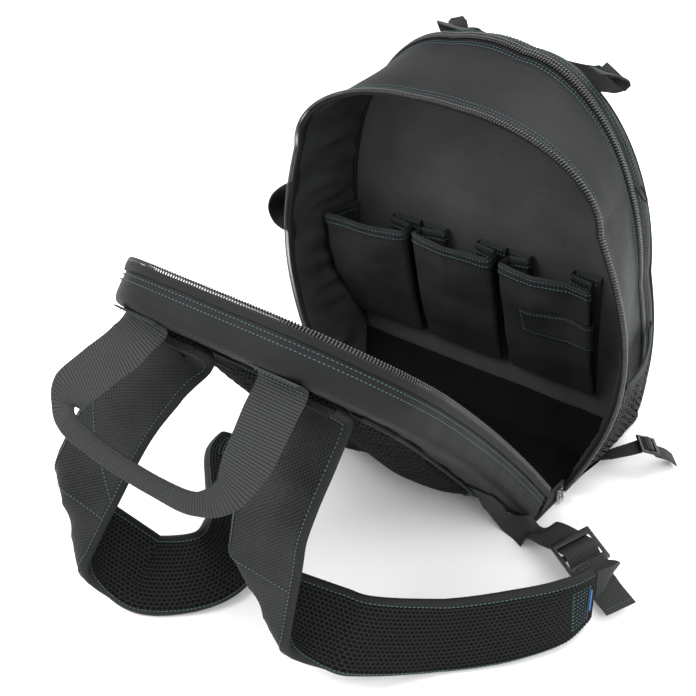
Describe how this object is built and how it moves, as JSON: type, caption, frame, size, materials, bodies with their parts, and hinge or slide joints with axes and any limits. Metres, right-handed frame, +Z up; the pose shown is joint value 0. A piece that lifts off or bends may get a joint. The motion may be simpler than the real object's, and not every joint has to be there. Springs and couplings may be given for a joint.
{
  "type": "tool backpack",
  "caption": "Upright tool backpack with its back panel unzipped and folded down on its padded shoulder straps, showing a divider with open tool pockets",
  "frame": {"origin": "on the floor, on the base's underside below the middle of the rear opening's rim", "axes": "+Z up; +Y from the rear opening to the front panel; X across the bag, +X on the net pocket's side"},
  "size_m": [0.5249, 0.5916, 0.4387],
  "materials": {
    "coated_cloth": "coated plain polyester, dark grey, low sheen",
    "woven_cloth": "ballistic weave nylon, dark grey, matt",
    "lining": "dark lining cloth, matt",
    "spacer_mesh": "black spacer mesh over foam",
    "net": "open knitted net, black",
    "webbing": "ribbed nylon webbing, near black",
    "zip": "nylon coil zip on woven tape, black",
    "cord": "braided cord, black",
    "black_plastic": "moulded, black, light grain",
    "nickel": "dull nickel plate"
  },
  "bodies": {
    "bag": {"main_shell": "coated_cloth", "base_panel": "woven_cloth", "front_shell": "coated_cloth", "rear_zip": "zip", "front_zip": "zip", "divider_wall": "lining", "back_panel": "woven_cloth", "panel_zip": "zip", "hinge_gusset_left": "woven_cloth", "back_pad_left": "spacer_mesh", "shoulder_strap_left": "woven_cloth", "hinge_gusset_right": "woven_cloth", "back_pad_right": "spacer_mesh", "shoulder_strap_right": "woven_cloth", "pocket_left": "lining", "pocket_centre": "lining", "pocket_right": "lining", "patch_pocket": "lining", "carry_handle": "webbing", "net_pocket": "net", "net_binding": "woven_cloth", "tool_loop": "coated_cloth", "tool_loop_sheath": "webbing", "front_handle": "webbing", "lower_webbing_left": "webbing", "ladder_lock_left": "black_plastic", "strap_loop_left": "webbing", "lower_webbing_right": "webbing", "ladder_lock_right": "black_plastic", "strap_loop_right": "webbing", "side_strap": "webbing", "side_buckle": "black_plastic", "front_pull_loop": "cord", "main_zip_slider": "nickel"},
    "pull": {"main_zip_pull": "nickel"}
  },
  "joints": [
    {"name": "main_zip_pull", "type": "hinge", "parent": "bag", "child": "pull", "pos_m": [0.164, -0.0155, 0.0149], "axis": [0, -1, 0], "range_deg": [0, 150]}
  ]
}
